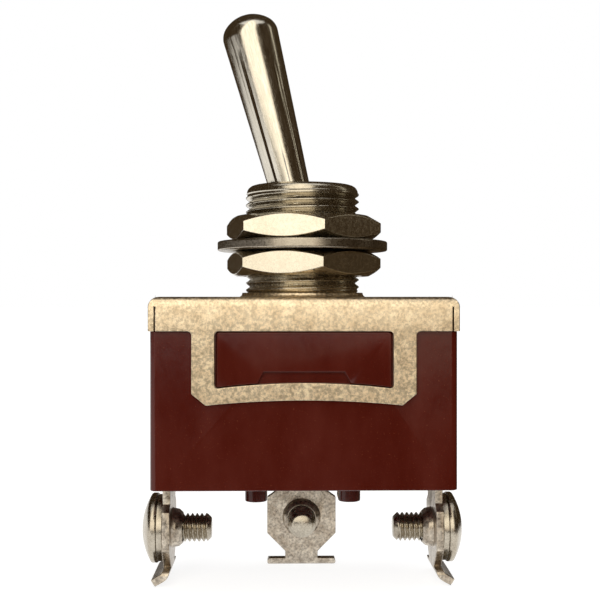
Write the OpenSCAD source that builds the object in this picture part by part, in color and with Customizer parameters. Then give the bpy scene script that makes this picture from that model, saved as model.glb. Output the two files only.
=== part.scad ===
// Panel toggle switch: a bat lever in a threaded bush, a pressed frame around a
// moulded body, and three screw terminals.
// Millimetres, +Z up. The origin is on the bush axis, at the frame's top face.
// Front is -Y.

/* [Body] */
// Width of the moulded body
body_w = 30.5; // [29.6:0.1:33]
// Depth of the moulded body
body_d = 16.4; // [16:0.1:18]
// Height of the moulded body
body_h = 18; // [17.6:0.1:20]
// Rounding of the body's upright edges
body_round = 0.65; // [0.3:0.05:1.2]
// End wall thickness
end_wall = 2; // [1.6:0.1:2.2]
// Front and back wall thickness
side_wall = 1.6; // [1.2:0.1:1.8]
// Floor thickness
floor_t = 2; // [1.6:0.1:2.2]
// Half width of the raised pad inside the frame's loop
pad_half = 8.6; // [7:0.1:8.7]
// Height of the raised pad above the body's face
pad_rise = 0.45; // [0.2:0.05:0.55]
// Thickness of the insulating sheet under the frame
insulator_t = 0.6; // [0.3:0.1:0.8]
// Length of the ribs under the body, front to back
rib_len = 5; // [3:0.1:7]
// Distance of the ribs from the middle
rib_x = 4.9; // [4.2:0.1:5.6]
// Depth of the ribs under the body
rib_drop = 2.2; // [1.2:0.1:2.4]

/* [Frame] */
// Sheet thickness of the frame
sheet = 0.6; // [0.5:0.05:0.8]
// Outside radius of the frame's bends
frame_bend = 1; // [0.9:0.05:1.4]
// Depth of the frame's skirt below its top face
skirt = 3.4; // [2.6:0.1:4]
// Width of the loop on the front and back
loop_w = 22.2; // [21.6:0.1:24]
// Width of the loop's legs
loop_leg = 2.3; // [2:0.1:2.6]
// Lowest edge of the loop below the frame's top face
loop_drop = 10.7; // [10:0.1:12]
// Height of the loop's bar
loop_bar = 1.65; // [1.2:0.05:2.2]
// Upward bow of the loop's bar
loop_bow = 0.55; // [0.2:0.05:0.8]
// Rounding of the loop's inside corners
loop_round = 0.4; // [0.2:0.05:0.6]
// Slit between the front flange and the end flange
slit = 0.1; // [0.06:0.02:0.2]

/* [Bush] */
// Thread diameter
thread_d = 12; // [11.6:0.1:12.6]
// Height of the bush above the frame
bush_h = 11.75; // [11.2:0.05:13]
// Bore for the lever's ball
bush_bore = 7.8; // [7.6:0.05:8.2]
// Rounding of the bush's top edge
bush_round = 0.8; // [0.3:0.05:1]
// Height of the drawn collar around the bush
collar_h = 0.45; // [0.45:0.05:1.3]
// Fillet of the drawn collar
collar_fillet = 0.4; // [0.2:0.05:0.4]

/* [Nuts] */
// Hexagon size across flats
nut_af = 14.7; // [14:0.1:16]
// Nut thickness
nut_t = 2.6; // [2:0.1:2.8]
// Lower nut's height above the frame
lower_nut_z = 2.2; // [1.8:0.1:2.4]
// Panel washer diameter
washer_d = 18; // [16.6:0.1:19]
// Panel washer thickness
washer_t = 1; // [0.6:0.05:1.1]
// Turn of the lower nut
lower_nut_turn = 43; // [0:1:59]
// Turn of the upper nut
upper_nut_turn = 44; // [0:1:59]

/* [Lever] */
// Angle of the lever from upright in each end position
lever_tilt = 14.4; // [12:0.2:14.6]
// Height of the lever's pivot above the frame
pivot_z = 6.3; // [6:0.05:6.6]
// Length of the lever above its pivot
bat_len = 24.35; // [20:0.05:28]
// Bat radius extrapolated to the pivot
bat_r0 = 1.9; // [1.7:0.05:2]
// Radius gained per millimetre along the bat
bat_taper = 0.0483; // [0.03:0.0005:0.055]
// Radius of the bat's domed end
dome_r = 3.5; // [3.2:0.1:4.5]
// Rounding between the bat's side and its dome
dome_blend = 1.8; // [1:0.1:2]
// Radius of the lever's tail
tail_r = 2; // [1.8:0.05:2.05]
// Distance from the end of the lever's tail to the plunger's ball
tail_gap = 5.25; // [5:0.05:5.8]
// Radius of the cross pin
cross_pin_r = 0.8; // [0.6:0.05:0.9]
// Bore in the tail for the spring and the plunger
tail_bore = 1.3; // [1.1:0.05:1.4]
// Radius of the plunger's ball end
ball_end = 1.6; // [1.4:0.05:1.7]
// Wire radius of the plunger's spring
wire_r = 0.2; // [0.12:0.02:0.25]
// Turns of the plunger's spring
spring_turns = 5; // [4:1:7]

/* [Contacts] */
// Height of the rocker's pivot above the body's floor
hinge_rise = 3; // [2.8:0.05:3.2]
// Tilt of the rocker in each end position
rocker_tilt = 6; // [5:0.2:6.4]
// Radius of the rocker's pin
rocker_pin_r = 0.75; // [0.6:0.05:0.8]
// Height of the rocker's wings above its pivot
wing_h = 3; // [2.8:0.05:3.2]
// Length of the rocker beyond its contacts
rocker_end = 2.2; // [1.9:0.1:2.4]
// Width of the rocker
rocker_w = 7.4; // [6:0.1:7.6]
// Distance of the contacts from the side terminals' stems
contact_inset = 5.15; // [4.9:0.05:5.5]
// Radius of the moving contacts
contact_r = 1.6; // [1.2:0.1:1.8]
// Height of the fixed contacts
fixed_contact_h = 0.7; // [0.5:0.05:0.9]

/* [Terminals] */
// Sheet thickness of the terminals
term_t = 0.8; // [0.6:0.05:0.9]
// Width of the terminal plates
plate_w = 7.6; // [6.8:0.1:8.4]
// Width of the terminals through the floor
stem_w = 5.6; // [4.6:0.1:6]
// Width of the neck above the foot
neck_w = 3.6; // [3:0.1:4.6]
// Distance of the side terminals' outer face inside the body's end
side_inset = 0.7; // [0.6:0.05:0.9]
// Distance of the middle terminal's outer face behind the middle
common_face = 5.8; // [5.7:0.05:6.3]
// Lowest point of the middle foot below the frame's top face
foot_drop = 29.9; // [29.6:0.05:31.5]
// Lowest point of the side feet below the frame's top face
side_foot_drop = 29.8; // [29.75:0.05:31.5]
// Outward bend of the middle foot from upright
foot_bend = 85; // [30:1:88]
// Outward bend of the side feet from upright
side_foot_bend = 60; // [30:1:80]
// Length of the middle foot beyond its fold
foot_len = 1.2; // [1:0.05:2]
// Length of the side feet beyond their fold
side_foot_len = 1.5; // [1:0.05:2]
// Height of the screws' axes below the frame's top face
screw_drop = 24.45; // [24.2:0.05:24.8]
// Outside diameter of the drawn collars
tap_collar_d = 4.2; // [3.8:0.1:5]
// Length of the drawn collars
tap_collar_len = 1.1; // [0.8:0.05:1.6]

/* [Screws] */
// Thread diameter of the terminal screws
screw_d = 3; // [2.5:0.5:3]
// Length of the terminal screws under the head
screw_len = 5.6; // [4.5:0.1:6.5]
// Head diameter
head_d = 7.3; // [6:0.1:7.4]
// Height of the head's straight rim
head_rim = 0.65; // [0.5:0.05:1]
// Height of the head's dome
head_dome = 1.05; // [0.7:0.05:1.3]
// Diameter of the washers under the heads
screw_washer_d = 7; // [5.4:0.1:7.3]
// Thickness of the washers under the heads
screw_washer_t = 0.6; // [0.4:0.05:0.8]

/* [Fits] */
// Clearance of every piece that turns or slides in another, on the radius
running = 0.05; // [0.03:0.01:0.08]
// Gap between faces that rest on each other but can part
seat = 0.05; // [0.02:0.01:0.08]
// Gap around a piece that stands in a moulded slot
slot_gap = 0.05; // [0.04:0.01:0.1]

/* [Hidden] */
$fn = 96;
body_top = -sheet - insulator_t;
body_bot = body_top - body_h;
floor_z = body_bot + floor_t;
cav_x = body_w / 2 - end_wall;
cav_y = body_d / 2 - side_wall;
frame_w = body_w + 0.2;
frame_d = body_d + 2 * sheet;
window_half = loop_w / 2 - loop_leg;
window_low = loop_drop - loop_bar;
hinge_z = floor_z + hinge_rise;
arm = pivot_z - hinge_z;
under_ball = rocker_pin_r + running + term_t + running + ball_end;
ball_arm = arm - under_ball;
tail_len = ball_arm - tail_gap;
side_face = body_w / 2 - side_inset;
stem_x = side_face - term_t / 2;
contact_x = stem_x - contact_inset;
rocker_half = contact_x + rocker_end;
// the ball end's centre in the rocker's own frame, with the lever over to one side
far = [ball_arm * sin(lever_tilt), arm - ball_arm * cos(lever_tilt)];
far_r = [far.x * cos(rocker_tilt) - far.y * sin(rocker_tilt), far.x * sin(rocker_tilt) + far.y * cos(rocker_tilt)];
path_rise = far_r.y - under_ball;
path_r = (far_r.x * far_r.x + path_rise * path_rise) / (2 * path_rise);
trough_r = path_r + ball_end + running;
trough_c = under_ball + path_r;
// contacts: the moving ones have domed faces, so they meet the flat ones at any tilt
button_r = 4;
button_face = wing_h - term_t - 0.8;
meet_z = hinge_z - contact_x * sin(rocker_tilt) + (button_face + button_r) * cos(rocker_tilt) - button_r;
fixed_top = meet_z - seat;
shelf_top = fixed_top - fixed_contact_h;
shelf_low = shelf_top - term_t;
// screws
screw_r = screw_d / 2;
under_head = screw_washer_t + 2 * seat;

// ---- construction functions ----
function unit(v) = v / norm(v);
function left_of(d) = [-d.y, d.x];
function spin(v, a) = [v.x * cos(a) - v.y * sin(a), v.x * sin(a) + v.y * cos(a)];
function reverse(l) = [for (i = [len(l) - 1 : -1 : 0]) l[i]];
function arc(c, r, a0, a1, k = 8) = [for (i = [0 : k]) c + r * [cos(a0 + (a1 - a0) * i / k), sin(a0 + (a1 - a0) * i / k)]];
// one edge of a folded sheet: the centreline p, moved by t/2 to side s, with an
// arc of inside radius r at each fold
function edge(p, r, t, s, k) = [for (i = [0 : len(p) - 1])
  let (a = unit(p[max(i, 1)] - p[max(i, 1) - 1]), b = unit(p[min(i + 1, len(p) - 1)] - p[min(i, len(p) - 2)]),
       w = i == 0 || i == len(p) - 1 ? 0 : atan2(a.x * b.y - a.y * b.x, a * b), g = sign(w), m = r + t / 2,
       c = p[i] - a * m * tan(abs(w) / 2) + left_of(a) * g * m)
  each w == 0 ? [p[i] + (i == 0 ? left_of(b) : left_of(a)) * s * t / 2]
              : [for (j = [0 : k]) c + spin(-left_of(a) * g, w * j / k) * (m - s * g * t / 2)]];
// the outline of a sheet of thickness t, folded along the centreline p
function folded(p, r, t, k = 6) = concat(edge(p, r, t, 1, k), reverse(edge(p, r, t, -1, k)));
function rounded(w, d, r, k = 6) = concat(
  arc([w / 2 - r, d / 2 - r], r, 0, 90, k), arc([r - w / 2, d / 2 - r], r, 90, 180, k),
  arc([r - w / 2, r - d / 2], r, 180, 270, k), arc([w / 2 - r, r - d / 2], r, 270, 360, k));
// a section through a tray turned upside down, w wide, with rounded shoulders
function tray(w, top, low, r) = concat([[-w / 2, low], [w / 2, low]],
  arc([w / 2 - r, top - r], r, 0, 90, 6), arc([r - w / 2, top - r], r, 90, 180, 6));
// an edge from x0 to x1 at height z that rises by h in its middle
function bowed(x0, x1, z, h, k = 14) = [for (i = [0 : k]) let (u = 2 * i / k - 1) [x0 + (x1 - x0) * i / k, z + h * (1 - u * u)]];

module along_y(d) { rotate([90, 0, 0]) linear_extrude(height = d, center = true) children(); }
module along_x(d) { rotate([90, 0, 90]) linear_extrude(height = d, center = true) children(); }

// ---- frame ----
// The loop hangs from the front flange around the body's pad. Its bar is bowed
// up, so it bears on the pad's lower edge.
function loop_outline() = concat(
  [[-loop_w / 2 - loop_round, -skirt + 0.5]], reverse(arc([-loop_w / 2 - loop_round, -skirt - loop_round], loop_round, 0, 90, 4)),
  [[-loop_w / 2, -loop_drop + 1.15]],
  bowed(1.4 - loop_w / 2, loop_w / 2 - 1.4, -loop_drop, loop_bow - 0.05),
  [[loop_w / 2, -loop_drop + 1.15]], reverse(arc([loop_w / 2 + loop_round, -skirt - loop_round], loop_round, 90, 180, 4)),
  [[loop_w / 2 + loop_round, -skirt + 0.5]]);
function window_outline(gap = 0) = concat(
  arc([gap - window_half + 0.4, -window_low + gap + 0.4], 0.4, 180, 250, 4),
  bowed(1 - window_half + gap, window_half - 1 - gap, -window_low + gap + 0.12, loop_bow - 0.12),
  arc([window_half - gap - 0.4, -window_low + gap + 0.4], 0.4, 290, 360, 4),
  arc([window_half - gap - loop_round, -skirt - gap - loop_round], loop_round, 0, 90, 4),
  arc([gap - window_half + loop_round, -skirt - gap - loop_round], loop_round, 90, 180, 4));

module frame_half() {
  // one loop, at the front
  translate([0, -frame_d / 2 + sheet / 2, 0]) difference() {
    along_y(sheet) polygon(loop_outline());
    along_y(sheet + 1) polygon(window_outline());
  }
}

module frame() {
  r_in = frame_bend - sheet;
  color("silver") difference() {
    union() {
      difference() {
        intersection() {
          along_y(frame_d) polygon(tray(frame_w, 0, -skirt, frame_bend));
          along_x(frame_w) polygon(tray(frame_d, 0, -skirt, frame_bend));
        }
        intersection() {
          along_y(frame_d) polygon(tray(frame_w - 2 * sheet, -sheet, -skirt - 1, r_in));
          along_x(frame_w) polygon(tray(frame_d - 2 * sheet, -sheet, -skirt - 1, r_in));
        }
      }
      frame_half();
      rotate([0, 0, 180]) frame_half();
      // the collar drawn up around the bush
      rotate_extrude() polygon(concat([[1, -sheet / 2], [thread_d / 2 + 0.4 + collar_fillet, -sheet / 2]],
        reverse(arc([thread_d / 2 + 0.4 + collar_fillet, collar_fillet], collar_fillet, 180, 270)),
        [[thread_d / 2 + 0.4, collar_h], [1, collar_h]]));
    }
    cylinder(r = thread_d / 2 - 0.5, h = 8, center = true);
    // the flanges are sheared apart at the corners
    for (sx = [-1, 1], sy = [-1, 1])
      translate([sx * (frame_w / 2 - sheet - slit / 2), sy * (frame_d / 2 - sheet / 2), -skirt / 2 - frame_bend / 2])
        cube([slit, sheet + 0.1, skirt - frame_bend + 0.02], center = true);
  }
}

// ---- bush ----
// The relief below the free end of the thread is inside the upper nut.
module bushing() {
  R = thread_d / 2;
  b = bush_bore / 2;
  nut_top = lower_nut_z + 2 * nut_t + washer_t + 2 * seat;
  color("silver") difference() {
    rotate_extrude() polygon(concat(
      [[b + 0.8, -sheet - 0.5], [R + 0.4, -sheet - 0.5], [R + 0.4, -sheet], [R - 0.5, -sheet], [R - 0.5, collar_h],
       [R - 0.25, collar_h], [R, collar_h + 0.25], [R, nut_top - 0.7], [R - 0.3, nut_top - 0.68], [R - 0.3, nut_top - 0.08], [R, nut_top - 0.06], [R, bush_h - bush_round - 0.1]],
      arc([R - 0.1 - bush_round, bush_h - bush_round], bush_round, 0, 90),
      [[b + 0.25, bush_h], [b, bush_h - 0.25], [b, 0.5]]));
    translate([0, 0, pivot_z]) rotate([90, 0, 0]) cylinder(r = cross_pin_r, h = 20, center = true);
  }
}

module lever_pin() {
  color("gray") translate([0, 0, pivot_z]) rotate([90, 0, 0]) cylinder(r = cross_pin_r, h = thread_d - 1.2, center = true);
}

// ---- body ----
// The pad fills the loop's window and overhangs its bar. Its pocket opens at the
// lower edge.
module pad() {
  translate([0, -body_d / 2, 0]) difference() {
    along_y(2 * pad_rise) intersection() {
      polygon(window_outline(0.1));
      square([2 * pad_half, 60], center = true);
    }
    translate([0, -pad_rise, 0]) along_y(2 * pad_rise) polygon([[-4, -window_low + loop_bow + 1.1], [4, -window_low + loop_bow + 1.1],
      [5.1, -window_low - 0.5], [-5.1, -window_low - 0.5]]);
  }
}

module housing() {
  color("saddlebrown") difference() {
    union() {
      translate([0, 0, body_bot]) linear_extrude(height = body_h - skirt + sheet + insulator_t) polygon(rounded(body_w, body_d, body_round));
      translate([0, 0, body_bot]) linear_extrude(height = body_h) polygon(rounded(frame_w - 2 * sheet - 0.1, body_d - 0.1, body_round));
      pad();
      rotate([0, 0, 180]) pad();
      for (s = [-1, 1]) translate([s * rib_x, 0, body_bot - rib_drop]) linear_extrude(height = rib_drop + 1) polygon(rounded(2.3, rib_len, 1.1));
    }
    difference() {
      translate([-cav_x, -cav_y, floor_z]) cube([2 * cav_x, 2 * cav_y, body_h]);
      // the blocks that carry the side terminals' shelves
      for (s = [0, 180]) rotate([0, 0, s]) along_y(stem_w + 1.2) polygon([[shelf_in - 0.6, floor_z - 0.1], [cav_x + 0.1, floor_z - 0.1],
        [cav_x + 0.1, shelf_low], [shelf_in - 0.6, shelf_low]]);
    }
    // slots for the terminals' stems. The side ones are dropped in from above,
    // through a groove in the end wall that is open behind the frame.
    for (s = [0, 180]) rotate([0, 0, s]) {
      along_y(stem_w + 2 * slot_gap) polygon([[stem_x - term_t / 2 - slot_gap, body_bot - 1], [side_face + slot_gap, body_bot - 1], [side_face + slot_gap, -skirt],
        [body_w / 2, -skirt], [body_w / 2, 0], [cav_x - 0.1, 0], [cav_x - 0.1, shelf_low], [stem_x - term_t / 2 - 0.5, shelf_low], [stem_x - term_t / 2 - slot_gap, shelf_low - 0.6]]);
    }
    translate([0, common_face - term_t / 2, body_bot]) cube([stem_w + 2 * slot_gap, term_t + 2 * slot_gap, 12], center = true);
    along_x(stem_w + 2 * slot_gap) polygon([[common_face - term_t - 0.6, floor_z + 0.1], [common_face - term_t / 2, floor_z + 0.1], [common_face - term_t / 2, floor_z - 1], [common_face - term_t, floor_z - 0.7]]);
  }
}

module insulator_sheet() {
  color("tan") translate([0, 0, body_top]) linear_extrude(height = insulator_t) difference() {
    square([frame_w - 2 * frame_bend, frame_d - 2 * frame_bend], center = true);
    circle(r = thread_d / 2 + 0.6);
  }
}

// ---- terminals ----
// Each is one folded sheet. The fold is drawn from the side, and cut to the
// outline that the flat blank has from the front.
shelf_in = contact_x - contact_r - 0.5;
// where a foot folds, for its lowest point, bend and length
function fold(drop, bend, len) = -drop + term_t / 2 * sin(bend) + len * cos(bend);
function tail_fold(face, z, bend, len) = [[face - term_t / 2, z], [face - term_t / 2 + len * sin(bend), z - len * cos(bend)]];
function mirrored(l) = [for (q = reverse(l)) [-q.x, q.y]];
function blank(z, drop) = let (h = plate_w / 2, n = neck_w / 2, low = -screw_drop - 1.75 - (h - n), f = min(z + term_t / 2, low - 0.05), e = 0.4,
    half = concat([[stem_w / 2, 0], [stem_w / 2, -screw_drop + 2.95], [h, -screw_drop + 2.25], [h, -screw_drop - 1.75], [n, low], [n, f]],
      arc([h - e, f - e], e, 90, 0, 4), arc([h - e, -drop - 0.02 + e], e, 0, -90, 4)))
  concat(half, mirrored(half));

module terminal(p, face, z, bend, len, drop) {
  // p is the centreline down to the foot, which folds at z, face the plate's outer face
  color("silver") difference() {
    union() {
      intersection() {
        along_y(plate_w + 1) polygon(folded(concat(p, tail_fold(face, z, bend, len)), 0.4, term_t));
        along_x(2 * body_w) polygon(blank(z, drop));
      }
      translate([face - term_t - tap_collar_len, 0, -screw_drop]) rotate([0, 90, 0]) rotate_extrude() polygon([[0, 0],
        [tap_collar_d / 2 - 0.5, 0], [tap_collar_d / 2 - 0.15, 0.4], [tap_collar_d / 2, tap_collar_len + 0.1], [0, tap_collar_len + 0.1]]);
    }
    translate([face, 0, -screw_drop]) rotate([0, 90, 0]) cylinder(r = screw_r + running, h = 12, center = true);
  }
}

module side_terminal() {
  difference() {
    terminal([[shelf_in, shelf_top - term_t / 2], [stem_x, shelf_top - term_t / 2]], side_face,
      fold(side_foot_drop, side_foot_bend, side_foot_len), side_foot_bend, side_foot_len, side_foot_drop);
    translate([contact_x, 0, shelf_low - 1]) cylinder(r = 0.8, h = 3);
  }
}
module terminal_right() { side_terminal(); }
module terminal_left() { rotate([0, 0, 180]) side_terminal(); }

// The middle terminal's base lies on the floor and carries the rocker's two
// bearing ears. The front ear is a third fold, the back one is lanced up.
ear_y = rocker_w / 2 + 0.3 + term_t / 2;
module ear() {
  along_y(term_t) polygon(concat([[-2.6, floor_z + term_t / 2], [2.6, floor_z + term_t / 2]],
    arc([0, hinge_z], rocker_pin_r + 0.95, 0, 180, 12)));
}
module terminal_common() {
  color("silver") difference() {
    union() {
      rotate([0, 0, 90]) difference() {
        terminal([[-ear_y, floor_z + 1.4], [-ear_y, floor_z + term_t / 2], [common_face - term_t / 2, floor_z + term_t / 2]], common_face,
          fold(foot_drop, foot_bend, foot_len), foot_bend, foot_len, foot_drop);
        translate([-ear_y, 0, floor_z + 1.7]) cube([3, 2 * stem_w, 1], center = true);
      }
      for (s = [-1, 1]) translate([0, s * ear_y, 0]) intersection() {
        ear();
        translate([-rocker_half, -2 * term_t, s < 0 ? floor_z + 0.9 : floor_z + 0.3]) cube([2 * rocker_half, 4 * term_t, 2 * hinge_rise]);
      }
    }
    translate([0, 0, hinge_z]) rotate([90, 0, 0]) cylinder(r = rocker_pin_r, h = 20, center = true);
  }
}

module fixed_contact() {
  translate([contact_x, 0, 0]) {
    translate([0, 0, shelf_top]) cylinder(r = contact_r + 0.2, h = fixed_contact_h);
    translate([0, 0, shelf_low]) cylinder(r = 0.8, h = term_t + 0.1);
  }
}
module fixed_contact_right() { color("lightgray") fixed_contact(); }
module fixed_contact_left() { color("lightgray") rotate([0, 0, 180]) fixed_contact(); }

module rocker_pin() {
  color("gray") translate([0, 0, hinge_z]) rotate([90, 0, 0]) cylinder(r = rocker_pin_r, h = 2 * ear_y + term_t + 0.4, center = true);
}

// ---- nuts and panel washer ----
module nut(z, turn) {
  b = thread_d / 2 + running;
  r0 = nut_af / 2 - 0.3;
  R = nut_af / 2 / cos(30);
  drop = (R + 0.1 - r0) * tan(30);
  color("silver") translate([0, 0, z]) difference() {
    intersection() {
      rotate([0, 0, turn]) cylinder(r = R, h = nut_t, $fn = 6);
      rotate_extrude() polygon([[0, 0], [r0, 0], [R + 0.1, drop], [R + 0.1, nut_t - drop], [r0, nut_t], [0, nut_t]]);
    }
    rotate_extrude() polygon([[0, -1], [b + 1.3, -1], [b, 0.3], [b, nut_t - 0.3], [b + 1.3, nut_t + 1], [0, nut_t + 1]]);
  }
}
module lower_nut() { nut(lower_nut_z, lower_nut_turn); }
module upper_nut() { nut(lower_nut_z + nut_t + washer_t + 2 * seat, upper_nut_turn); }
module panel_washer() {
  color("silver") translate([0, 0, lower_nut_z + nut_t + seat]) linear_extrude(height = washer_t) difference() {
    circle(r = washer_d / 2);
    circle(r = thread_d / 2 + 0.1);
  }
}

// ---- lever, spring and plunger ----
module on_lever() { translate([0, 0, pivot_z]) rotate([0, -lever_tilt, 0]) children(); }

// The bat is a cone that a small arc blends into its domed end. The blend's
// centre is where an arc meets both the cone and the dome without a corner.
bat_k2 = 1 + bat_taper * bat_taper;
dome_t = bat_len - dome_r;
blend_0 = bat_r0 + bat_taper * dome_t - dome_blend * sqrt(bat_k2);
blend_u = (-blend_0 * bat_taper + sqrt(pow(blend_0 * bat_taper, 2) - bat_k2 * (pow(blend_0, 2) - pow(dome_r - dome_blend, 2)))) / bat_k2;
blend_c = [blend_0 + bat_taper * blend_u, dome_t + blend_u];
module lever() {
  ball_r = bush_bore / 2 - running;
  a = atan(bat_taper);
  b = atan2(blend_u, blend_c.x);
  color("silver") on_lever() difference() {
    union() {
      sphere(r = ball_r);
      rotate_extrude() polygon(concat([[0, -tail_len], [tail_r - 0.3, -tail_len], [tail_r, -tail_len + 0.3], [tail_r, -1], [bat_r0, 0]],
        arc(blend_c, dome_blend, -a, b), arc([0, dome_t], dome_r, b, 90, 10)));
    }
    rotate([90, 0, 0]) cylinder(r = cross_pin_r + running, h = 20, center = true);
    translate([0, 0, -tail_len - 1]) cylinder(r = tail_bore, h = 8);
  }
}

spring_top = 6.8 - tail_len;
spring_low = 3.2 - tail_len;
module plunger_spring() {
  // a coil, swept as rings of points around the helix
  n = 16 * spring_turns;
  m = 8;
  q = tail_bore - wire_r - 0.12;
  pitch = (spring_top - spring_low - 2 * wire_r) / spring_turns;
  lead = atan2(pitch, 360 * q * PI / 180);
  pts = [for (i = [0 : n], j = [0 : m - 1]) let (a = 360 * spring_turns * i / n, e = 360 * j / m, u = wire_r * cos(e), v = wire_r * sin(e))
    [(q + u) * cos(a) + v * sin(lead) * sin(a), (q + u) * sin(a) - v * sin(lead) * cos(a), spring_low + wire_r + pitch * spring_turns * i / n + v * cos(lead)]];
  color("gray") on_lever() polyhedron(points = pts, faces = concat(
    [[for (j = [0 : m - 1]) j]], [[for (j = [m - 1 : -1 : 0]) n * m + j]],
    [for (i = [0 : n - 1], j = [0 : m - 1]) [i * m + j, (i + 1) * m + j, (i + 1) * m + (j + 1) % m]],
    [for (i = [0 : n - 1], j = [0 : m - 1]) [i * m + j, (i + 1) * m + (j + 1) % m, i * m + (j + 1) % m]]));
}

module plunger() {
  head_t = -tail_len - 1.2;
  color("ivory") on_lever() union() {
    translate([0, 0, -ball_arm]) sphere(r = ball_end);
    rotate_extrude() polygon([[0, spring_low - 0.1], [tail_bore - running - 0.2, spring_low - 0.1], [tail_bore - running, spring_low - 0.3], [tail_bore - running, head_t],
      [ball_end - 0.2, head_t], [ball_end, head_t - 0.2], [ball_end, -ball_arm], [0, -ball_arm]]);
  }
}

// ---- rocker ----
module on_rocker() { translate([0, 0, hinge_z]) rotate([0, rocker_tilt, 0]) children(); }

// The trough is the path of the ball end in the rocker's own frame, moved down by
// the ball's radius, so the ball follows it through the whole throw.
module rocker() {
  top_x = sqrt(pow(trough_r, 2) - pow(trough_c - wing_h, 2));
  low_r = trough_r + term_t;
  low_x = sqrt(pow(low_r, 2) - pow(trough_c - wing_h + term_t, 2));
  ta = asin(top_x / trough_r);
  la = asin(low_x / low_r);
  color("silver") on_rocker() difference() {
    union() {
      along_y(rocker_w) polygon(concat([[-rocker_half, wing_h]], arc([0, trough_c], trough_r, 270 - ta, 270 + ta, 14), [[rocker_half, wing_h], [rocker_half, wing_h - term_t]],
        arc([0, trough_c], low_r, 270 + la, 270 - la, 14), [[-rocker_half, wing_h - term_t]]));
      for (s = [-1, 1]) translate([0, s * (rocker_w - term_t) / 2, 0]) along_y(term_t)
        polygon(concat([[-3.3, 1.45]], arc([0, 0], rocker_pin_r + 0.8, 190, 350, 10), [[3.3, 1.45]]));
    }
    rotate([90, 0, 0]) cylinder(r = rocker_pin_r + running, h = 20, center = true);
    for (s = [-1, 1]) translate([s * contact_x, 0, 0]) cylinder(r = 0.8, h = 6);
  }
}
module moving_contact() {
  a = asin(contact_r / button_r);
  translate([contact_x, 0, 0]) {
    rotate_extrude() polygon(concat(arc([0, button_face + button_r], button_r, 270, 270 + a, 5), [[contact_r, wing_h - term_t], [0, wing_h - term_t]]));
    translate([0, 0, wing_h - term_t - 0.1]) cylinder(r = 0.8, h = term_t + 0.1);
    translate([0, 0, wing_h]) cylinder(r1 = 1.3, r2 = 1.1, h = 0.35);
  }
}
module moving_contact_right() { color("lightgray") on_rocker() moving_contact(); }
module moving_contact_left() { color("lightgray") on_rocker() rotate([0, 0, 180]) moving_contact(); }

// ---- terminal screws ----
// Drawn along +Z with the plate's outer face at 0.
module screw_place(a, face) { rotate([0, 0, a]) translate([face, 0, -screw_drop]) rotate([0, 90, 0]) children(); }
module screw() {
  h = head_d / 2;
  dome_R = (h * h + head_dome * head_dome) / (2 * head_dome);
  e = asin(h / dome_R);
  color("silver") translate([0, 0, under_head]) difference() {
    rotate_extrude() polygon(concat([[0, -screw_len], [screw_r - 0.45, -screw_len], [screw_r, -screw_len + 0.45], [screw_r, 0], [h - 0.12, 0], [h, 0.12]],
      arc([0, head_rim + head_dome - dome_R], dome_R, 90 - e, 90, 8)));
    for (a = [0, 90]) rotate([0, 0, a]) along_y(0.85) polygon([[-1.75, 3], [1.75, 3], [1.75, head_rim + head_dome - 0.2], [0.5, 0.55], [-0.5, 0.55], [-1.75, head_rim + head_dome - 0.2]]);
  }
}
module screw_washer() {
  color("silver") translate([0, 0, seat]) linear_extrude(height = screw_washer_t) difference() {
    circle(r = screw_washer_d / 2);
    circle(r = screw_r + 0.1);
  }
}
module terminal_screw_right() { screw_place(0, side_face) screw(); }
module terminal_screw_left() { screw_place(180, side_face) screw(); }
module terminal_screw_common() { screw_place(90, common_face) screw(); }
module screw_washer_right() { screw_place(0, side_face) screw_washer(); }
module screw_washer_left() { screw_place(180, side_face) screw_washer(); }
module screw_washer_common() { screw_place(90, common_face) screw_washer(); }

frame();
bushing();
housing();
insulator_sheet();
terminal_left();
terminal_right();
terminal_common();
fixed_contact_left();
fixed_contact_right();
lever_pin();
rocker_pin();
lower_nut();
panel_washer();
upper_nut();
lever();
plunger_spring();
plunger();
rocker();
moving_contact_left();
moving_contact_right();
screw_washer_left();
screw_washer_right();
screw_washer_common();
terminal_screw_left();
terminal_screw_right();
terminal_screw_common();
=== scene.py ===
import math
import bpy
from mathutils import Matrix, Vector


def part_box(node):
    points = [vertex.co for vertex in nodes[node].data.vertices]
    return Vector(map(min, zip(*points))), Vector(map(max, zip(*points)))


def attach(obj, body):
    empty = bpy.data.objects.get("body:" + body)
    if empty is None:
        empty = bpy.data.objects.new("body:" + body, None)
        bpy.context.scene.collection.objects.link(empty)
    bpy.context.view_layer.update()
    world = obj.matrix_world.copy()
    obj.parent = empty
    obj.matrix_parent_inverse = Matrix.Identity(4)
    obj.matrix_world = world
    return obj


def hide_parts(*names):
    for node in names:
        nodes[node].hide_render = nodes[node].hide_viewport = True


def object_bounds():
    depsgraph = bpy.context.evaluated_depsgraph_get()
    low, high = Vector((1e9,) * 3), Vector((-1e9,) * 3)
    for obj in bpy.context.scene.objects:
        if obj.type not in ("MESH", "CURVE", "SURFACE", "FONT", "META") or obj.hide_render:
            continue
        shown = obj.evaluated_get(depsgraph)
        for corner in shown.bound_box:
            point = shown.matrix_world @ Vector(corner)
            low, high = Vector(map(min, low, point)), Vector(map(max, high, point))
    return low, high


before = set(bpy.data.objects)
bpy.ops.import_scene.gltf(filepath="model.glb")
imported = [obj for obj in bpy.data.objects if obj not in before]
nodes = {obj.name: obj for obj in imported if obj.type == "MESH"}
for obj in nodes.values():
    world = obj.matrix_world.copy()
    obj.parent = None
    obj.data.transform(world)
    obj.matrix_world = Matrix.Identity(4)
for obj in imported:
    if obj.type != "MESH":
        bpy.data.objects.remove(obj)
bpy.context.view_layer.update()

mm = 0.001


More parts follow.
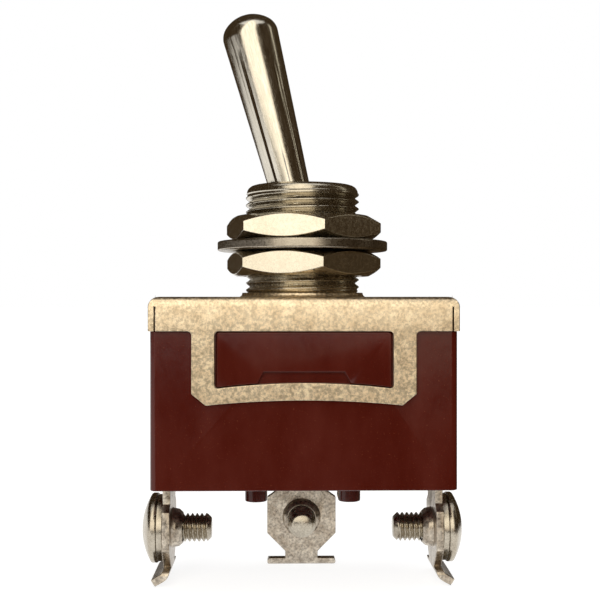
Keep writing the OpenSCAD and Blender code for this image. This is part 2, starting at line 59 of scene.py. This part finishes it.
# ---------------------------------------------------------------------------
# Pressed frame. One piece of 0.6 mm steel, blanked, folded over the body and
# nickel plated. The sheared edges are eased, and the plating is dull and
# coarsely speckled, with darker patches between.
def eased(node, width, segments=2):
    """A copy of a CAD node with its sharp edges rounded by width."""
    bpy.ops.object.select_all(action="DESELECT")
    piece = bpy.data.objects.new("eased_" + node, nodes[node].data.copy())
    bpy.context.scene.collection.objects.link(piece)
    piece.select_set(True)
    bpy.context.view_layer.objects.active = piece
    bpy.ops.object.mode_set(mode="EDIT")
    bpy.ops.mesh.select_all(action="SELECT")
    bpy.ops.mesh.remove_doubles(threshold=2e-7)
    bpy.ops.mesh.dissolve_limited(angle_limit=math.radians(0.6))
    bpy.ops.object.mode_set(mode="OBJECT")
    bpy.ops.object.shade_smooth_by_angle(angle=math.radians(32))
    if width:
        bevel = piece.modifiers.new("edges", "BEVEL")
        bevel.width = width
        bevel.segments = segments
        bevel.limit_method = "ANGLE"
        bevel.angle_limit = math.radians(35)
        bevel.use_clamp_overlap = False
        bevel.loop_slide = False
        bevel.harden_normals = True
        bpy.ops.object.modifier_apply(modifier=bevel.name)
    return piece


def stands_for(piece, node, body, material):
    """The piece moves with body and is shown in place of a CAD node."""
    piece.data.materials.clear()
    piece.data.materials.append(material)
    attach(piece, body)
    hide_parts(node)


def noise(nt, vector, size, detail, roughness=0.6):
    node = nt.nodes.new("ShaderNodeTexNoise")
    node.inputs["Scale"].default_value = 1 / size
    node.inputs["Detail"].default_value = detail
    node.inputs["Roughness"].default_value = roughness
    nt.links.new(vector, node.inputs["Vector"])
    return node.outputs["Fac"]


def spread(nt, value, low, high, to_low=0.0, to_high=1.0):
    """value, mapped from low..high to to_low..to_high and clamped."""
    node = nt.nodes.new("ShaderNodeMapRange")
    for name, number in (("From Min", low), ("From Max", high), ("To Min", to_low), ("To Max", to_high)):
        node.inputs[name].default_value = number
    nt.links.new(value, node.inputs["Value"])
    return node.outputs["Result"]


def blend(nt, a, b, factor):
    """The mix of two colours, each a tuple or a socket."""
    node = nt.nodes.new("ShaderNodeMix")
    node.data_type = "RGBA"
    for name, colour in (("A", a), ("B", b)):
        if isinstance(colour, tuple):
            node.inputs[name].default_value = (*colour, 1)
        else:
            nt.links.new(colour, node.inputs[name])
    nt.links.new(factor, node.inputs["Factor"])
    return node.outputs["Result"]


def relief(nt, height, distance, below=None):
    node = nt.nodes.new("ShaderNodeBump")
    node.inputs["Strength"].default_value = 1.0
    node.inputs["Distance"].default_value = distance
    nt.links.new(height, node.inputs["Height"])
    if below is not None:
        nt.links.new(below, node.inputs["Normal"])
    return node.outputs["Normal"]


def nickel_plate(name, colour, shade, rough, grain, depth, bloom, drawn=None, flecked=(0.82, 1.06)):
    """Plated metal. colour and shade mix in patches of size bloom, and a speckle
    of size grain, between the two levels in flecked, breaks up the gloss. drawn =
    (tilt, pivot, length) stretches the speckle along a tilted axis, as on a turned
    or drawn bar."""
    mat = bpy.data.materials.new(name)
    mat.use_nodes = True
    nt = mat.node_tree
    bsdf = nt.nodes["Principled BSDF"]
    bsdf.inputs["Metallic"].default_value = 1.0
    place = nt.nodes.new("ShaderNodeTexCoord").outputs["Object"]
    along = place
    if drawn:
        tilt, pivot, length = drawn
        turn = nt.nodes.new("ShaderNodeMapping")
        turn.vector_type = "TEXTURE"
        turn.inputs["Location"].default_value = (0, 0, pivot)
        turn.inputs["Rotation"].default_value = (0, -tilt, 0)
        turn.inputs["Scale"].default_value = (1, 1, length)
        nt.links.new(place, turn.inputs["Vector"])
        along = turn.outputs["Vector"]
    patches = spread(nt, noise(nt, place, bloom, 4, 0.65), 0.35, 0.7)
    speckle = noise(nt, along, grain, 3)
    tone = blend(nt, colour, shade, patches)
    flecks = nt.nodes.new("ShaderNodeVectorMath")
    flecks.operation = "SCALE"
    nt.links.new(tone, flecks.inputs[0])
    nt.links.new(spread(nt, speckle, 0.38, 0.62, *flecked), flecks.inputs["Scale"])
    nt.links.new(flecks.outputs["Vector"], bsdf.inputs["Base Color"])
    nt.links.new(spread(nt, speckle, 0.3, 0.7, *rough), bsdf.inputs["Roughness"])
    nt.links.new(relief(nt, speckle, depth), bsdf.inputs["Normal"])
    return mat


pressed_steel = nickel_plate(
    "frame_plating", (0.95, 0.80, 0.58), (0.70, 0.56, 0.38), rough=(0.30, 0.46),
    grain=0.28 * mm, depth=0.012 * mm, bloom=1.2 * mm, flecked=(0.62, 1.12))
stands_for(eased("frame", 0.08 * mm), "frame", "base", pressed_steel)


# ---------------------------------------------------------------------------
# Threaded bush. Turned brass, nickel plated and bright, with an M12 thread of
# 0.75 mm pitch from the collar up to the rounded rim. It is staked under the
# frame's top.
def turned(name, profile, steps):
    """A lathe shape about Z. The profile, points (radius, height), is extruded
    point by point and spun once round."""
    bpy.ops.object.select_all(action="DESELECT")
    bpy.ops.mesh.primitive_plane_add(size=mm)
    piece = bpy.context.object
    piece.name = name
    bpy.ops.object.mode_set(mode="EDIT")
    bpy.ops.mesh.select_all(action="SELECT")
    bpy.ops.mesh.merge(type="CENTER")
    bpy.ops.transform.translate(value=(profile[0][0], 0, profile[0][1]))
    for (r0, z0), (r1, z1) in zip(profile, profile[1:]):
        bpy.ops.mesh.extrude_region_move(TRANSFORM_OT_translate={"value": (r1 - r0, 0, z1 - z0)})
    bpy.ops.mesh.select_all(action="SELECT")
    bpy.ops.mesh.spin(steps=steps, angle=2 * math.pi, center=(0, 0, 0), axis=(0, 0, 1))
    bpy.ops.mesh.select_all(action="SELECT")
    bpy.ops.mesh.remove_doubles(threshold=1e-7)
    bpy.ops.mesh.normals_make_consistent(inside=False)
    bpy.ops.object.mode_set(mode="OBJECT")
    return piece


def wall(radius, low, high, count):
    """A straight wall of a profile, in count short steps."""
    return [(radius, low + (high - low) * i / count) for i in range(count + 1)]


def rounding(cx, cz, radius, start, end, count):
    """A round stretch of a profile, between two angles in degrees."""
    angles = [math.radians(start + (end - start) * i / count) for i in range(count + 1)]
    return [(cx + radius * math.cos(a), cz + radius * math.sin(a)) for a in angles]


def cut_thread(piece, crest, depth, pitch, low, high, start=0.0):
    """Moves the wall at the crest radius in along a helix, to a rounded root.
    The groove runs out at both ends."""
    run_out = 0.5 * pitch
    for v in piece.data.vertices:
        r = math.hypot(v.co.x, v.co.y)
        if abs(r - crest) > 0.01 * crest or not low < v.co.z < high:
            continue
        turn = math.atan2(v.co.y, v.co.x) / (2 * math.pi)
        phase = ((v.co.z - low) / pitch - turn + start) % 1.0
        groove = min(1.0, max(0.0, 1.25 * (1 - abs(2 * phase - 1)) - 0.16))
        fade = min(1.0, (v.co.z - low) / run_out, (high - v.co.z) / run_out)
        k = (r - depth * groove * fade) / r
        v.co.x *= k
        v.co.y *= k


crest = 6.0 * mm
bore = 3.9 * mm
bore_foot = 4.7 * mm
staking = 6.4 * mm
neck = 5.5 * mm
sheet = 0.6 * mm
collar_top = 0.45 * mm
rim_round = 0.8 * mm
bush_foot, bush_top = (corner.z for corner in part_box("bushing"))
bush_profile = (
    [(bore_foot, bush_foot), (staking, bush_foot), (staking, -sheet), (neck, -sheet),
     (neck, collar_top), (crest - 0.25 * mm, collar_top)]
    + wall(crest, collar_top + 0.2 * mm, bush_top - rim_round - 0.05 * mm, 164)
    + rounding(crest - 0.1 * mm - rim_round, bush_top - rim_round, rim_round, 0, 90, 7)
    + [(bore + 0.25 * mm, bush_top), (bore, bush_top - 0.25 * mm), (bore, 0.5 * mm), (bore_foot, bush_foot)])
bush = turned("threaded_bush", bush_profile, 128)
cut_thread(bush, crest, depth=0.40 * mm, pitch=0.75 * mm,
           low=collar_top + 0.1 * mm, high=bush_top - rim_round, start=0.3)
bpy.ops.object.shade_smooth_by_angle(angle=math.radians(50))
bush_plate = nickel_plate(
    "bush_plating", (0.62, 0.57, 0.47), (0.50, 0.45, 0.36), rough=(0.18, 0.30),
    grain=0.25 * mm, depth=0.002 * mm, bloom=2.5 * mm)
stands_for(bush, "bushing", "base", bush_plate)


# ---------------------------------------------------------------------------
# Two hexagon nuts and the panel washer. The nuts are turned from hexagon bar
# with a 30 degree chamfer on both faces, the washer is a plain stamping. All
# three are bright nickel plate over steel.
nut_plate = nickel_plate(
    "nut_plating", (0.78, 0.72, 0.60), (0.70, 0.64, 0.52), rough=(0.15, 0.26),
    grain=0.3 * mm, depth=0.0012 * mm, bloom=3 * mm)
washer_plate = nickel_plate(
    "washer_plating", (0.50, 0.45, 0.37), (0.36, 0.31, 0.25), rough=(0.24, 0.36),
    grain=0.2 * mm, depth=0.003 * mm, bloom=2 * mm)
stands_for(eased("lower_nut", 0.05 * mm), "lower_nut", "lower_nut", nut_plate)
stands_for(eased("upper_nut", 0.05 * mm), "upper_nut", "upper_nut", nut_plate)
stands_for(eased("panel_washer", 0.18 * mm, 3), "panel_washer", "lower_nut", washer_plate)


# ---------------------------------------------------------------------------
# Bat lever. Turned brass with a long taper and a domed end, polished along its
# length before plating, so the shine runs in soft streaks.
lever_tilt = math.radians(14.4)
lever_pivot = 6.3 * mm
lever_plate = nickel_plate(
    "lever_plating", (0.74, 0.69, 0.59), (0.66, 0.61, 0.51), rough=(0.14, 0.26),
    grain=0.16 * mm, depth=0.0016 * mm, bloom=3 * mm, drawn=(lever_tilt, lever_pivot, 9))
stands_for(eased("lever", 0), "lever", "lever", lever_plate)


# ---------------------------------------------------------------------------
# Body. One compression moulding of dark red-brown phenolic, with raised pads
# in the frame's loops and two ribs below. The skin is half gloss, with flow
# marks, fine light specks painted into its colour as glints of the gloss, and softened edges.
def phenolic(name, dark, light, filler_and_glints, rough):
    """A moulding. dark and light mix along the flow, with lighter specks painted into the colour: filler in the fibre
    and nylon, painted glints of the gloss on the body.
    """
    mat = bpy.data.materials.new(name)
    mat.use_nodes = True
    nt = mat.node_tree
    bsdf = nt.nodes["Principled BSDF"]
    bsdf.inputs["Specular IOR Level"].default_value = 0.35
    place = nt.nodes.new("ShaderNodeTexCoord").outputs["Object"]
    stretch = nt.nodes.new("ShaderNodeMapping")
    stretch.inputs["Scale"].default_value = (1, 1, 0.4)
    nt.links.new(place, stretch.inputs["Vector"])
    flow = noise(nt, stretch.outputs["Vector"], 3.5 * mm, 5)
    specks = noise(nt, place, 0.16 * mm, 3)
    resin = blend(nt, dark, light, spread(nt, flow, 0.35, 0.7))
    # lighter specks painted into the colour; on the body they are painted glints of the gloss
    nt.links.new(blend(nt, resin, filler_and_glints, spread(nt, specks, 0.64, 0.76)), bsdf.inputs["Base Color"])
    nt.links.new(spread(nt, flow, 0.3, 0.7, *rough), bsdf.inputs["Roughness"])
    skin = relief(nt, specks, 0.004 * mm)
    nt.links.new(relief(nt, flow, 0.05 * mm, skin), bsdf.inputs["Normal"])
    return mat


# the lighter specks on the body are painted glints of the gloss, put into its colour
body_phenolic = phenolic(
    "body_phenolic", (0.050, 0.0042, 0.0018), (0.066, 0.0072, 0.0032),
    filler_and_glints=(0.13, 0.030, 0.014), rough=(0.13, 0.22))
stands_for(eased("housing", 0.10 * mm), "housing", "base", body_phenolic)


# ---------------------------------------------------------------------------
# Three terminals, each folded from 0.8 mm brass strip and dull plated, with
# a drawn and tapped collar, and a turned-out foot.
terminal_plate = nickel_plate(
    "terminal_plating", (0.66, 0.59, 0.49), (0.30, 0.24, 0.18), rough=(0.24, 0.42),
    grain=0.26 * mm, depth=0.010 * mm, bloom=1.2 * mm, flecked=(0.62, 1.15))
for side in ("left", "right", "common"):
    stands_for(eased("terminal_" + side, 0.07 * mm), "terminal_" + side, "base", terminal_plate)


# ---------------------------------------------------------------------------
# Terminal screws and their washers. M3 with a domed head and a cross recess,
# cold headed and thread rolled, bright plated. One is made, about Z with its
# head up, and copied to the three terminals.
screw_plate = nickel_plate(
    "screw_plating", (0.56, 0.51, 0.42), (0.40, 0.35, 0.28), rough=(0.18, 0.32),
    grain=0.2 * mm, depth=0.004 * mm, bloom=1.5 * mm)
screw_crest = 1.5 * mm
screw_length = 5.6 * mm
head_radius = 3.65 * mm
head_rim = 0.65 * mm
head_height = 1.7 * mm
head_dome = head_height - head_rim
dome_radius = (head_radius ** 2 + head_dome ** 2) / (2 * head_dome)
dome_start = math.degrees(math.acos(head_radius / dome_radius))
screw_profile = (
    [(0, -screw_length), (1.0 * mm, -screw_length), (1.12 * mm, 0.08 * mm - screw_length)]
    + wall(screw_crest, 0.42 * mm - screw_length, -0.35 * mm, 96)
    + [(screw_crest, 0), (head_radius - 0.14 * mm, 0), (head_radius - 0.04 * mm, 0.04 * mm),
       (head_radius, 0.14 * mm), (head_radius, head_rim - 0.1 * mm)]
    + rounding(0, head_height - dome_radius, dome_radius, dome_start + 0.8, 89.5, 9)
    + [(0, head_height)])
screw = turned("screw", screw_profile, 64)
cut_thread(screw, screw_crest, depth=0.30 * mm, pitch=0.5 * mm, low=0.3 * mm - screw_length, high=-0.3 * mm)

# the recess is two crossed bars, each narrowed to a foot at its lower face
recess_long, recess_wide, recess_tall = 3.6 * mm, 0.85 * mm, 2 * mm
recess_foot = 0.6 * mm
for angle in (0, 90):
    bpy.ops.object.select_all(action="DESELECT")
    bpy.ops.mesh.primitive_cube_add(size=1)
    bar = bpy.context.object
    bar.data.transform(
        Matrix.Translation((0, 0, recess_foot + recess_tall / 2))
        @ Matrix.Rotation(math.radians(angle), 4, "Z")
        @ Matrix.Diagonal((recess_long, recess_wide, recess_tall, 1)))
    bpy.ops.object.mode_set(mode="EDIT")
    bpy.ops.mesh.select_all(action="DESELECT")
    bpy.ops.object.mode_set(mode="OBJECT")
    for face in bar.data.polygons:
        face.select = face.normal.z < -0.9
    bpy.ops.object.mode_set(mode="EDIT")
    bpy.ops.transform.resize(value=(0.4, 0.4, 1), center_override=(0, 0, recess_foot))
    bpy.ops.object.mode_set(mode="OBJECT")
    bpy.context.view_layer.objects.active = screw
    recess = screw.modifiers.new("recess", "BOOLEAN")
    recess.operation = "DIFFERENCE"
    recess.solver = "EXACT"
    recess.object = bar
    bpy.ops.object.modifier_apply(modifier=recess.name)
    bpy.data.objects.remove(bar)
bpy.ops.object.select_all(action="DESELECT")
screw.select_set(True)
bpy.context.view_layer.objects.active = screw
bpy.ops.object.shade_smooth_by_angle(angle=math.radians(40))

# each head points away from the body: left, right, and back for the common one
for side, heading in (("right", 0), ("left", 180), ("common", 90)):
    low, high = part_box("terminal_screw_" + side)
    seat = {"right": (high.x - head_height, 0), "left": (low.x + head_height, 0), "common": (0, high.y - head_height)}[side]
    piece = bpy.data.objects.new("threaded_screw_" + side, screw.data.copy())
    bpy.context.scene.collection.objects.link(piece)
    piece.data.transform(
        Matrix.Translation((*seat, (low.z + high.z) / 2))
        @ Matrix.Rotation(math.radians(heading), 4, "Z")
        @ Matrix.Rotation(math.radians(90), 4, "Y"))
    screw_body, washer = "terminal_screw_" + side, "screw_washer_" + side
    stands_for(piece, screw_body, screw_body, screw_plate)
    stands_for(eased(washer, 0.05 * mm), washer, washer, screw_plate)
bpy.data.objects.remove(screw)


# ---------------------------------------------------------------------------
# The works inside the body. They are hidden, but they keep their real finish:
# fibre sheet, plated steel pins and spring, a nylon plunger, a plated rocker
# and bright contacts.
fibre = phenolic("fibre_sheet", (0.25, 0.12, 0.05), (0.32, 0.17, 0.08), filler_and_glints=(0.40, 0.25, 0.14), rough=(0.5, 0.7))
nylon = phenolic("moulded_nylon", (0.70, 0.66, 0.55), (0.76, 0.72, 0.62), filler_and_glints=(0.80, 0.77, 0.68), rough=(0.35, 0.5))
for name, material in (
        ("insulator_sheet", fibre), ("lever_pin", screw_plate), ("rocker_pin", screw_plate),
        ("plunger_spring", screw_plate), ("plunger", nylon), ("rocker", terminal_plate),
        ("fixed_contact_left", nut_plate), ("fixed_contact_right", nut_plate),
        ("moving_contact_left", nut_plate), ("moving_contact_right", nut_plate)):
    nodes[name].data.materials.clear()
    nodes[name].data.materials.append(material)


# ---------------------------------------------------------------------------
# Studio table. The floor and the backdrop are white, and the floor keeps the
# shadow. A tall warm soft box stands in front, a little to the left, and dark
# cards round about give the plated parts something to reflect.
scene = bpy.context.scene


def seen_or_mirrored(nt):
    """1 for what the camera sees, straight or in a reflection, and 0 for light."""
    path = nt.nodes.new("ShaderNodeLightPath")
    total = path.outputs["Is Camera Ray"]
    for name in ("Is Glossy Ray", "Is Transmission Ray"):
        either = nt.nodes.new("ShaderNodeMath")
        either.operation = "MAXIMUM"
        nt.links.new(total, either.inputs[0])
        nt.links.new(path.outputs[name], either.inputs[1])
        total = either.outputs[0]
    return total


def show(nt, plain, seen, out):
    """Joins plain, for light, and seen, for the camera, to the output out."""
    pick = nt.nodes.new("ShaderNodeMixShader")
    nt.links.new(seen_or_mirrored(nt), pick.inputs[0])
    nt.links.new(plain, pick.inputs[1])
    nt.links.new(seen, pick.inputs[2])
    nt.links.new(pick.outputs[0], out)


def card(name, points, faces, colour, strength, diffuse=False):
    """A card of even brightness. Only reflections see it, and with diffuse it
    lights the object too."""
    mesh = bpy.data.meshes.new(name)
    mesh.from_pydata(points, [], faces)
    obj = bpy.data.objects.new(name, mesh)
    scene.collection.objects.link(obj)
    mat = bpy.data.materials.new(name)
    mat.use_nodes = True
    nt = mat.node_tree
    nt.nodes.clear()
    glow = nt.nodes.new("ShaderNodeEmission")
    glow.inputs["Color"].default_value = (*colour, 1)
    glow.inputs["Strength"].default_value = strength
    nt.links.new(glow.outputs[0], nt.nodes.new("ShaderNodeOutputMaterial").inputs["Surface"])
    obj.data.materials.append(mat)
    obj.visible_camera = False
    obj.visible_diffuse = diffuse
    obj.visible_shadow = False


def towards(azimuth, distance):
    """A place on the table, azimuth in degrees from the front towards +X."""
    a = math.radians(azimuth)
    return Vector((math.sin(a), -math.cos(a), 0)) * distance


def sector(radius, low, high, start, end, top_radius=None, steps=24):
    """The points and faces of a wall round the object between two azimuths. It
    may lean in to top_radius."""
    up_radius = radius if top_radius is None else top_radius
    points, faces = [], []
    for i in range(steps + 1):
        azimuth = start + (end - start) * i / steps
        points += [towards(azimuth, radius) + Vector((0, 0, low)), towards(azimuth, up_radius) + Vector((0, 0, high))]
    for i in range(steps):
        faces.append((2 * i, 2 * i + 2, 2 * i + 3, 2 * i + 1))
    return points, faces


def dome(radius, left, right, low, high, columns=12, rows=16):
    """The points and faces of a patch of a sphere, its limits in degrees."""
    points, faces = [], []
    for j in range(rows + 1):
        lift = math.radians(low + (high - low) * j / rows)
        for i in range(columns + 1):
            across = towards(left + (right - left) * i / columns, radius * math.cos(lift))
            points.append(across + Vector((0, 0, radius * math.sin(lift))))
    for j in range(rows):
        for i in range(columns):
            k = j * (columns + 1) + i
            faces.append((k, k + 1, k + columns + 2, k + columns + 1))
    return points, faces


floor_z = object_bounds()[0].z - 0.01 * mm
floor_size = 8
bpy.ops.mesh.primitive_plane_add(size=1)
floor = bpy.context.object
floor.name = "floor"
floor.data.transform(Matrix.Translation((0, 0, floor_z)) @ Matrix.Diagonal((floor_size, floor_size, 1, 1)))
pale = bpy.data.materials.new("pale_floor")
pale.use_nodes = True
nt = pale.node_tree
nt.nodes.clear()
matt = nt.nodes.new("ShaderNodeBsdfDiffuse")
matt.inputs["Color"].default_value = (0.80, 0.80, 0.80, 1)
shaded = nt.nodes.new("ShaderNodeBsdfDiffuse")
shaded.inputs["Color"].default_value = (0.30, 0.30, 0.30, 1)
far = nt.nodes.new("ShaderNodeVectorMath")
far.operation = "LENGTH"
nt.links.new(nt.nodes.new("ShaderNodeTexCoord").outputs["Object"], far.inputs[0])
white = nt.nodes.new("ShaderNodeEmission")
nt.links.new(spread(nt, far.outputs["Value"], 0.05, 0.45, 0.84, 1.0), white.inputs["Strength"])
lit = nt.nodes.new("ShaderNodeAddShader")
nt.links.new(shaded.outputs[0], lit.inputs[0])
nt.links.new(white.outputs[0], lit.inputs[1])
show(nt, matt.outputs[0], lit.outputs[0], nt.nodes.new("ShaderNodeOutputMaterial").inputs["Surface"])
floor.data.materials.append(pale)

world = bpy.data.worlds.new("studio")
scene.world = world
world.use_nodes = True
nt = world.node_tree
nt.nodes.clear()
room = nt.nodes.new("ShaderNodeBackground")
room.inputs["Color"].default_value = (0.95, 0.96, 1.0, 1)
room.inputs["Strength"].default_value = 0.25
paper = nt.nodes.new("ShaderNodeBackground")
paper.inputs["Color"].default_value = (1, 1, 1, 1)
paper.inputs["Strength"].default_value = 1.0
show(nt, room.outputs[0], paper.outputs[0], nt.nodes.new("ShaderNodeOutputWorld").inputs["Surface"])

# the soft box is a tall curved panel from the table to overhead
card("soft_box", *dome(0.40, -41, 22, -0.5, 83.5), (1, 0.93, 0.80), 1.85, diffuse=True)
card("low_panel_right", *sector(0.38, -0.045, 0.0, 8, 22), (1, 0.80, 0.62), 1.5)
card("slit_right", *sector(0.45, 0.08, 0.45, 92, 99), (1, 0.95, 0.80), 1.0)
dark = (0.050, 0.033, 0.017)
table_z = floor_z + 0.5 * mm
card("dark_cards", *sector(0.60, floor_z, 0.9, 22, 319), dark, 1.0)
roof = [(-0.7, 0.7, 0.75), (0.7, 0.7, 0.75), (0.7, 0.0, 0.75), (-0.7, 0.0, 0.75)]
card("dark_roof", roof, [(0, 1, 2, 3)], dark, 1.0)
card("dark_table", *sector(0.62, table_z, table_z, -35, 180, top_radius=0.04), dark, 1.0)


def fill(name, place, aim, size, power, colour):
    """A square lamp that no reflection shows."""
    light = bpy.data.lights.new(name, "AREA")
    light.shape = "RECTANGLE"
    light.size = light.size_y = size
    light.energy = power
    light.color = colour
    obj = bpy.data.objects.new(name, light)
    scene.collection.objects.link(obj)
    obj.location = place
    obj.rotation_euler = (Vector(aim) - Vector(place)).to_track_quat("-Z", "Y").to_euler()
    obj.visible_glossy = False


fill("fill_front", (-0.05, -0.30, 0.16), (0, 0, -0.01), 0.20, 0.42, (1, 0.97, 0.92))
fill("fill_top", (0.05, 0.02, 0.34), (0, 0, 0), 0.30, 0.9, (1, 0.98, 0.95))

# the camera stands close in front, level with the frame's top
camera_distance = 114.3 * mm
camera_height = -0.32 * mm
camera_azimuth = -1.2
aim_left = 0.128
camera = bpy.data.cameras.new("camera")
camera.lens = 64.44
camera.sensor_width = 36
camera.clip_start = 0.005
eye = bpy.data.objects.new("camera", camera)
scene.collection.objects.link(eye)
eye.location = towards(camera_azimuth, camera_distance) + Vector((0, 0, camera_height))
eye.rotation_euler = (math.pi / 2, 0, math.radians(camera_azimuth + aim_left))
scene.camera = eye
scene.view_settings.view_transform = "Standard"
